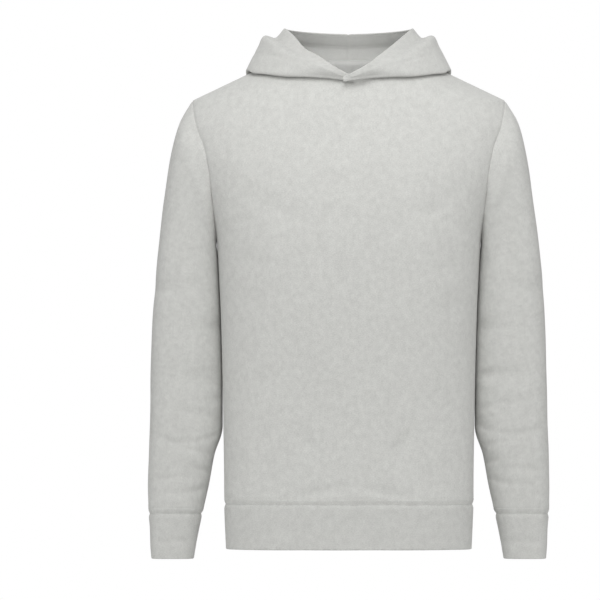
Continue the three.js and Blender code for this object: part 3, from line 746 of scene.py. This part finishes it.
def fleece_material(name, light, dark, knit=1.0):
    """Brushed heather fleece: pale and dark fibres mixed, fine knit columns and a soft pile."""
    material = bpy.data.materials.new(name)
    material.use_nodes = True
    nodes, links = material.node_tree.nodes, material.node_tree.links
    shader = nodes["Principled BSDF"]
    shader.inputs["Roughness"].default_value = 0.95
    shader.inputs["Specular IOR Level"].default_value = 0.2
    shader.inputs["Sheen Weight"].default_value = 0.18
    shader.inputs["Sheen Roughness"].default_value = 0.5

    def add(kind, **values):
        node = nodes.new(kind)
        for key, setting in values.items():
            setattr(node, key, setting)
        return node

    def speckle(source, scale, detail, roughness, low, high):
        noise = add("ShaderNodeTexNoise")
        noise.inputs["Scale"].default_value = scale
        noise.inputs["Detail"].default_value = detail
        noise.inputs["Roughness"].default_value = roughness
        links.new(source, noise.inputs["Vector"])
        spread = add("ShaderNodeMapRange")
        spread.inputs["From Min"].default_value = low
        spread.inputs["From Max"].default_value = high
        links.new(noise.outputs["Fac"], spread.inputs["Value"])
        return spread.outputs["Result"]

    def maths(operation, a, b=None):
        node = add("ShaderNodeMath", operation=operation)
        for socket, given in zip(node.inputs, (a, b)):
            if given is None:
                continue
            if isinstance(given, (int, float)):
                socket.default_value = given
            else:
                links.new(given, socket)
        return node.outputs[0]

    place = add("ShaderNodeTexCoord")
    stretched = add("ShaderNodeMapping")
    stretched.inputs["Scale"].default_value = (1.0, 2.2, 1.0)
    links.new(place.outputs["UV"], stretched.inputs["Vector"])
    flecks = speckle(stretched.outputs["Vector"], *FLECKS)
    fibres = speckle(stretched.outputs["Vector"], *FIBRES)
    clouds = speckle(place.outputs["Object"], *CLOUDS)
    mixed = maths("ADD", maths("MULTIPLY", flecks, FLECK_SHARE), maths("MULTIPLY", fibres, FIBRE_SHARE))
    mixed = maths("ADD", mixed, maths("MULTIPLY", clouds, CLOUD_SHARE))
    colour = add("ShaderNodeMix", data_type="RGBA")
    links.new(mixed, colour.inputs["Factor"])
    colour.inputs["A"].default_value = (*dark, 1)
    colour.inputs["B"].default_value = (*light, 1)
    links.new(colour.outputs["Result"], shader.inputs["Base Color"])

    split = add("ShaderNodeSeparateXYZ")
    links.new(place.outputs["UV"], split.inputs["Vector"])
    column = maths("MULTIPLY", split.outputs["X"], 2 * math.pi / (WALE * MM))
    lean = maths("ABSOLUTE", maths("SINE", maths("MULTIPLY", column, 0.5)))
    rise = maths("MULTIPLY", split.outputs["Y"], 2 * math.pi / (COURSE * MM))
    loop = maths("ADD", rise, maths("MULTIPLY", lean, LOOP_LEAN))
    knitted = maths("ADD", maths("SINE", loop), maths("SINE", column))
    knitted = maths("MULTIPLY", knitted, KNIT_HEIGHT * knit)
    pile = maths("ADD", maths("MULTIPLY", flecks, 0.5), maths("MULTIPLY", fibres, 0.5))
    bump = add("ShaderNodeBump")
    bump.inputs["Strength"].default_value = 0.5
    bump.inputs["Distance"].default_value = BUMP_HEIGHT * MM
    links.new(maths("ADD", knitted, pile), bump.inputs["Height"])
    links.new(bump.outputs["Normal"], shader.inputs["Normal"])
    return material


def thread_material(name, colour):
    material = bpy.data.materials.new(name)
    material.use_nodes = True
    nodes, links = material.node_tree.nodes, material.node_tree.links
    shader = nodes["Principled BSDF"]
    shader.inputs["Roughness"].default_value = 0.7
    shader.inputs["Sheen Weight"].default_value = 0.1
    place = nodes.new("ShaderNodeTexCoord")
    twist = nodes.new("ShaderNodeTexNoise")
    twist.inputs["Scale"].default_value = 2600
    links.new(place.outputs["Object"], twist.inputs["Vector"])
    tone = nodes.new("ShaderNodeMix")
    tone.data_type = "RGBA"
    tone.inputs["A"].default_value = (*[0.8 * c for c in colour], 1)
    tone.inputs["B"].default_value = (*colour, 1)
    links.new(twist.outputs["Fac"], tone.inputs["Factor"])
    links.new(tone.outputs["Result"], shader.inputs["Base Color"])
    return material


# Stitches: pitch, length, half thickness of the thread, start of the row, height of the ends above the
# cloth, height of the arch, and its places along a stitch
STITCH_PITCH = 3.3
STITCH_LENGTH = 2.5
THREAD_HALF = 0.38
FIRST_STITCH = 0.5
STITCH_SINK = -0.25
STITCH_ARCH = 0.024
ARCH_PARTS = (0.22, 0.78)


def stitch_points(path, normals):
    """The points and faces of a row of stitches along a path that lies on cloth."""
    lengths = np.concatenate([[0], np.cumsum(np.linalg.norm(np.diff(path, axis=0), axis=1))])
    starts = np.arange(FIRST_STITCH, lengths[-1] - STITCH_LENGTH, STITCH_PITCH)

    def at(distance, values):
        return np.stack([np.interp(distance, lengths, values[:, k]) for k in range(3)], axis=-1)

    head, tail = at(starts, path), at(starts + STITCH_LENGTH, path)
    up = unit(at(starts + STITCH_LENGTH / 2, normals))
    along = unit(tail - head)
    aside = unit(np.cross(along, up))
    rings = []
    for part in ARCH_PARTS:
        middle = mix(head, tail, part) + up * STITCH_ARCH
        rings += [middle + way * THREAD_HALF for way in (aside, up, -aside, -up)]
    points = np.stack([head + up * STITCH_SINK, *rings, tail + up * STITCH_SINK], axis=1)
    sides = [(0, 1 + k, 1 + (k + 1) % 4) for k in range(4)]
    sides += [(1 + k, 5 + k, 5 + (k + 1) % 4, 1 + (k + 1) % 4) for k in range(4)]
    sides += [(9, 5 + (k + 1) % 4, 5 + k) for k in range(4)]
    faces = [[10 * stitch + corner for corner in face] for stitch in range(len(starts)) for face in sides]
    return points.reshape(-1, 3), faces


def stitches(name, rows, material):
    """One mesh of several rows of stitches, each row a path and its normals."""
    points, faces = [], []
    for path, normals in rows:
        row_points, row_faces = stitch_points(path, normals)
        shift = sum(len(p) for p in points)
        points.append(row_points)
        faces += [[corner + shift for corner in face] for face in row_faces]
    mesh = bpy.data.meshes.new(name)
    mesh.from_pydata((np.concatenate(points) * MM).tolist(), [], faces)
    mesh.polygons.foreach_set("use_smooth", [True] * len(mesh.polygons))
    mesh.validate()
    piece = bpy.data.objects.new(name, mesh)
    bpy.context.collection.objects.link(piece)
    piece.data.materials.append(material)
    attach(piece, "root")
    return piece


def line_on(made, distance, from_end=False, columns=None):
    """The line on a piece's outside at a distance from its first or last row."""
    points, normals = made["outer"], made["normals"]
    if from_end:
        points, normals = points[::-1], normals[::-1]
    if columns is not None:
        points, normals = points[:, columns], normals[:, columns]
    arcs = arc_lengths(points, 0)
    path, ways = [], []
    for column in range(points.shape[1]):
        place = np.interp(distance, arcs[:, column], np.arange(len(arcs)))
        low = min(int(place), len(arcs) - 2)
        path.append(mix(points[low, column], points[low + 1, column], place - low))
        ways.append(mix(normals[low, column], normals[low + 1, column], place - low))
    if made["closed"] and columns is None:
        path.append(path[0])
        ways.append(ways[0])
    return np.array(path), unit(np.array(ways))


def groove(distance, centre, half, depth):
    """How far a row of stitches draws the cloth in."""
    return depth * np.exp(-(((distance - centre) / half) ** 2))


def seam_roll(distance, depth, half):
    """How far a seam lets the cloth in beside it."""
    return depth * np.exp(-((distance / half) ** 2))


def puckers(distance, wave, depth, deepest, reach):
    """The small waves of cloth that is gathered by a seam."""
    return depth * wave * np.exp(-(((distance - deepest) / reach) ** 2))


def away_from_armpit(z):
    """0 near the armpit, where no seam is let in because sleeve and body touch, and 1 far from it."""
    (top, above), (bottom, below) = SEAM_FADE_ABOVE, SEAM_FADE_BELOW
    return np.maximum(np.clip((z - top) / above, 0, 1), np.clip((bottom - z) / below, 0, 1))


def panel_piece(name, node, face, material):
    points = panel_grid(face)
    up = arc_lengths(points, 0)
    down = up[-1] - up
    across = arc_lengths(points, 1)
    side = np.minimum(across, across[:, -1:] - across)
    x, y, z = points[..., 0], points[..., 1], points[..., 2]
    wave = np.sin(x / 6.1 + 0.7) * np.sin(x / 9.7 + y / 7)
    shoulder = np.abs(x) > NECK_HALF
    relief = seam_roll(up, *BAND_SEAM) + seam_roll(side, *PLAIN_SEAM) * away_from_armpit(z)
    relief += puckers(up, wave, *PANEL_PUCKERS)
    relief += np.where(shoulder, seam_roll(down, *SHOULDER_SEAM), 0)
    for line in HEM_STITCH_LINES:
        relief += groove(up, line, *BAND_GROOVE)
    thin = NECK_THINNING * np.exp(-((down / NECK_THINNING_REACH) ** 2)) * ~shoulder
    return plan_cloth(name, node, points, False, CLOTH * (1 - thin), material, relief)


def hem_piece(material, front_panel, back_panel):
    """The hem band, which carries on all round from the panels' lowest points."""
    seam = np.concatenate([front_panel[0, :-1], back_panel[0, ::-1][:-1]])
    drop = HEM_SEAM_Z - HEM_BOTTOM_Z
    rows = np.unique(np.concatenate([np.linspace(0, 1, HEM_ROW_STEPS + 1), HEM_ROW_ENDS]))
    lines = []
    for part in rows:
        z = mix(HEM_SEAM_Z, HEM_BOTTOM_Z + DOUBLE_CLOTH / 2, part)
        scale_x = half_width(z) / half_width(np.float64(HEM_SEAM_Z))
        place, seam_place = body_place(z), body_place(HEM_SEAM_Z)
        front, back = (
            read_table(BODY_SECTIONS, place, column) / read_table(BODY_SECTIONS, seam_place, column)
            for column in (3, 4)
        )
        scale_y = np.where(seam[:, 1] < SIDE_SEAM_Y, front, back)
        y = mix(SIDE_SEAM_Y, seam[:, 1], scale_y)
        lines.append(np.stack([seam[:, 0] * scale_x, y, np.full(len(seam), z)], axis=-1))
    points = np.stack(lines)
    down = (rows * drop)[:, None]
    around = arc_lengths(points, 1)
    short_wave = np.sin(around / 4.3) * np.sin(around / 11.5 + 0.8)
    long_wave = np.sin(around / 23 + 0.6) * np.sin(around / 61)
    relief = seam_roll(down, *BAND_SEAM) + puckers(down, short_wave, *HEM_PUCKERS)
    relief += HEM_WAVES * long_wave * (down / drop)
    return plan_cloth(
        "hem_band_cloth", "hem_band", points, True, DOUBLE_CLOTH, material, relief, rounded=True
    )


def sleeve_piece(word, side, material):
    rows = fine_places(len(SLEEVE_RINGS) - 1, SLEEVE_ROW_STEPS, SLEEVE_ROW_ENDS)
    points, turn = limb_grid(SLEEVE_RINGS, side, rows, True)
    along = arc_lengths(points, 0)
    to_cuff = along[-1] - along
    around = arc_lengths(points, 1)
    fade = np.clip(along / HEAD_FADE, 0, 1) * np.clip(to_cuff / CUFF_FADE, 0, 1)
    by_body = np.exp(-((((turn + 270) % 360 - 180) / BODY_SIDE_FADE) ** 2))
    head_seam = seam_roll(along, *PLAIN_SEAM) * away_from_armpit(points[:1, :, 2])
    relief = sleeve_relief(turn, points[..., 2], side) * fade * (1 - by_body)
    relief += head_seam + seam_roll(to_cuff, *BAND_SEAM)
    relief += puckers(to_cuff, np.sin(around / 3.9), *SLEEVE_PUCKERS)
    for line in CUFF_STITCH_LINES:
        relief += groove(to_cuff, line, *BAND_GROOVE)
    name, node = f"sleeve_{word}_cloth", f"sleeve_{word}"
    return plan_cloth(name, node, points, True, CLOTH, material, relief, flange=SLEEVE_FLANGE)


def cuff_piece(word, side, material):
    rows = fine_places(len(CUFF_RINGS) - 1, CUFF_ROW_STEPS, CUFF_ROW_ENDS)
    points, turn = limb_grid(CUFF_RINGS, side, rows, False)
    along = arc_lengths(points, 0)
    around = arc_lengths(points, 1)
    relief = seam_roll(along, *BAND_SEAM) + puckers(along, np.sin(around / 3.7), *CUFF_PUCKERS)
    for at, half, at_turn, half_turn, deep in CUFF_FOLDS:
        relief += groove(along, at, half, deep) * np.exp(-(((turn - at_turn) / half_turn) ** 2))
    name, node = f"cuff_{word}_cloth", f"cuff_{word}"
    return plan_cloth(name, node, points, True, DOUBLE_CLOTH, material, relief, rounded=True)


def hood_piece(word, side, material):
    points, rows = hood_grid(side)
    along, across = arc_lengths(points, 0), arc_lengths(points, 1)
    to_edge = along[-1] - along
    relief = np.zeros(points.shape[:2])
    for line in HOOD_STITCH_LINES:
        relief += groove(to_edge, line, *HOOD_GROOVE) * (along[-1] > LEAST_GROOVED_WALL)
    relief += seam_roll(across[:, -1:] - across, *HOOD_SEAM)
    on_wall = np.exp(-(((rows - CREASED_ROW) / CREASED_REACH) ** 4))[:, None]
    on_wall = on_wall * (points[..., 1] < CREASED_BEFORE_Y)
    for crease_side, *shape in HOOD_CREASES:
        if crease_side == side:
            relief += crease(points[..., 0], points[..., 2], *shape) * on_wall
    name, node = f"hood_{word}_cloth", f"hood_{word}"
    return plan_cloth(
        name, node, points, False, HOOD_CLOTH, material, relief, share=0.5, rounded=True
    )


FLEECE_LIGHT, FLEECE_DARK = (0.70, 0.705, 0.675), (0.43, 0.43, 0.415)
# Inside faces: the fleece's colours made much paler, painted light that stands in for light reaching into
# the neck and hood
INSIDE_PALE_PAINTED_LIGHT, INSIDE_DARK_PAINTED_LIGHT = (0.90, 0.905, 0.88), (0.76, 0.76, 0.74)
# Hem band and cuffs: the fleece made a little darker, painted shade that stands in for the light falling off
# towards the bottom
BAND_PALE_PAINTED_SHADE, BAND_DARK_PAINTED_SHADE = [0.93 * c for c in FLEECE_LIGHT], [0.96 * c for c in FLEECE_DARK]
# Hood: the same fleece with its pale fibres made a little darker, painted shade on the hood
HOOD_PALE_PAINTED_SHADE = [0.94 * c for c in FLEECE_LIGHT]
fleece = fleece_material("fleece", FLEECE_LIGHT, FLEECE_DARK)
band_fleece = fleece_material("band_fleece", BAND_PALE_PAINTED_SHADE, BAND_DARK_PAINTED_SHADE, 1.4)
hood_fleece = fleece_material("hood_fleece", HOOD_PALE_PAINTED_SHADE, FLEECE_DARK, 0.8)
fleece_inside_painted_light = fleece_material("fleece_inside_painted_light", INSIDE_PALE_PAINTED_LIGHT, INSIDE_DARK_PAINTED_LIGHT, 0.3)
thread = thread_material("thread", (0.62, 0.62, 0.60))

plans = {
    "front": panel_piece("front_cloth", "front", -1, fleece),
    "back": panel_piece("back_cloth", "back", 1, fleece),
    "hem": hem_piece(band_fleece, panel_grid(-1), panel_grid(1)),
}
for word, side in (("left", 1), ("right", -1)):
    plans[f"sleeve_{word}"] = sleeve_piece(word, side, fleece)
    plans[f"cuff_{word}"] = cuff_piece(word, side, band_fleece)
    plans[f"hood_{word}"] = hood_piece(word, side, hood_fleece)
share_seam_normals(list(plans.values()))
made = {key: make_cloth(plan) for key, plan in plans.items()}
front, back, hem = made["front"], made["back"], made["hem"]
sleeves, cuffs, hoods = (
    {word: made[f"{kind}_{word}"] for word in ("left", "right")} for kind in ("sleeve", "cuff", "hood")
)

front_stitches = stitches("front_stitches", [line_on(front, d) for d in HEM_STITCH_LINES], thread)
back_stitches = stitches("back_stitches", [line_on(back, d) for d in HEM_STITCH_LINES], thread)
sleeve_stitches = {
    word: stitches(
        f"sleeve_{word}_stitches", [line_on(one, d, True) for d in CUFF_STITCH_LINES], thread
    )
    for word, one in sleeves.items()
}
for word, one in hoods.items():
    wide_enough = np.nonzero(arc_lengths(one["outer"], 0)[-1] > LEAST_STITCHED_WALL)[0]
    lines = [line_on(one, d, True, wide_enough) for d in HOOD_STITCH_LINES]
    stitches(f"hood_{word}_stitches", lines, thread)


# The floor, in metres, and how bright the surround is to the camera and as a light
FLOOR_HALF = (0.6, 0.5)
FLOOR_MIDDLE_Y, FLOOR_Z = 0.05, -0.80
FLOOR_CORNERS = 64
SEEN_STRENGTH, LIGHTING_STRENGTH = 1.0, 0.43

# Square lamps, aimed at the chest: name, place and size in metres, power in watts
LAMP_TARGET = (0, 0, -0.3)
LAMPS = [
    ("above", (0.05, -1.4, 1.2), 1.2, 20),
    ("front", (-0.1, -4.4, 0.7), 2.4, 46),
    ("left", (2.3, -1.1, 0.25), 1.8, 11),
    ("right", (-2.3, -1.1, 0.25), 1.8, 11),
    ("behind", (-0.2, 2.2, 1.1), 2.0, 24),
]


def stage_and_light():
    """A small pale floor below the picture, a white surround, and soft lights, strongest from the front."""
    floor = bpy.data.meshes.new("floor")
    turns = np.linspace(0, 2 * math.pi, FLOOR_CORNERS + 1)[:-1]
    corners = [
        (FLOOR_HALF[0] * math.cos(turn), FLOOR_MIDDLE_Y + FLOOR_HALF[1] * math.sin(turn), FLOOR_Z)
        for turn in turns
    ]
    floor.from_pydata(corners, [], [list(range(FLOOR_CORNERS))])
    floor_object = bpy.data.objects.new("floor", floor)
    bpy.context.collection.objects.link(floor_object)
    paint = bpy.data.materials.new("floor")
    paint.use_nodes = True
    paint.node_tree.nodes["Principled BSDF"].inputs["Base Color"].default_value = (0.9, 0.9, 0.9, 1)
    paint.node_tree.nodes["Principled BSDF"].inputs["Roughness"].default_value = 0.9
    floor.materials.append(paint)
    scene = bpy.context.scene
    world = bpy.data.worlds.new("studio")
    world.use_nodes = True
    nodes, links = world.node_tree.nodes, world.node_tree.links
    seen, lighting = nodes["Background"], nodes.new("ShaderNodeBackground")
    seen.inputs["Color"].default_value = (1, 1, 1, 1)
    seen.inputs["Strength"].default_value = SEEN_STRENGTH
    lighting.inputs["Color"].default_value = (1, 1, 1, 1)
    lighting.inputs["Strength"].default_value = LIGHTING_STRENGTH
    rays, chosen = nodes.new("ShaderNodeLightPath"), nodes.new("ShaderNodeMixShader")
    links.new(rays.outputs["Is Camera Ray"], chosen.inputs[0])
    links.new(lighting.outputs[0], chosen.inputs[1])
    links.new(seen.outputs[0], chosen.inputs[2])
    links.new(chosen.outputs[0], nodes["World Output"].inputs["Surface"])
    scene.world = world
    scene.view_settings.view_transform = "Standard"
    for name, place, size, power in LAMPS:
        lamp = bpy.data.lights.new(name, "AREA")
        lamp.shape = "SQUARE"
        lamp.size = size
        lamp.energy = power
        holder = bpy.data.objects.new(name, lamp)
        bpy.context.collection.objects.link(holder)
        holder.location = place
        aim = Vector(LAMP_TARGET) - Vector(place)
        holder.rotation_euler = aim.to_track_quat("-Z", "Y").to_euler()


def photo_camera():
    """A level camera far off, framed as the photograph: 600 pixels of 1.42 mm, the neck at 348.7, 57."""
    picture, pixel = 600, 1.42 * MM
    neck_across, neck_down = 348.7, 57
    away = 14.0
    camera = bpy.data.cameras.new("camera")
    camera.sensor_width = 36
    camera.lens = camera.sensor_width * away / (picture * pixel)
    camera.clip_end = 60
    holder = bpy.data.objects.new("camera", camera)
    bpy.context.collection.objects.link(holder)
    holder.location = ((picture / 2 - neck_across) * pixel, -away, (neck_down - picture / 2) * pixel)
    holder.rotation_euler = (math.pi / 2, 0, 0)
    bpy.context.scene.camera = holder


stage_and_light()
photo_camera()
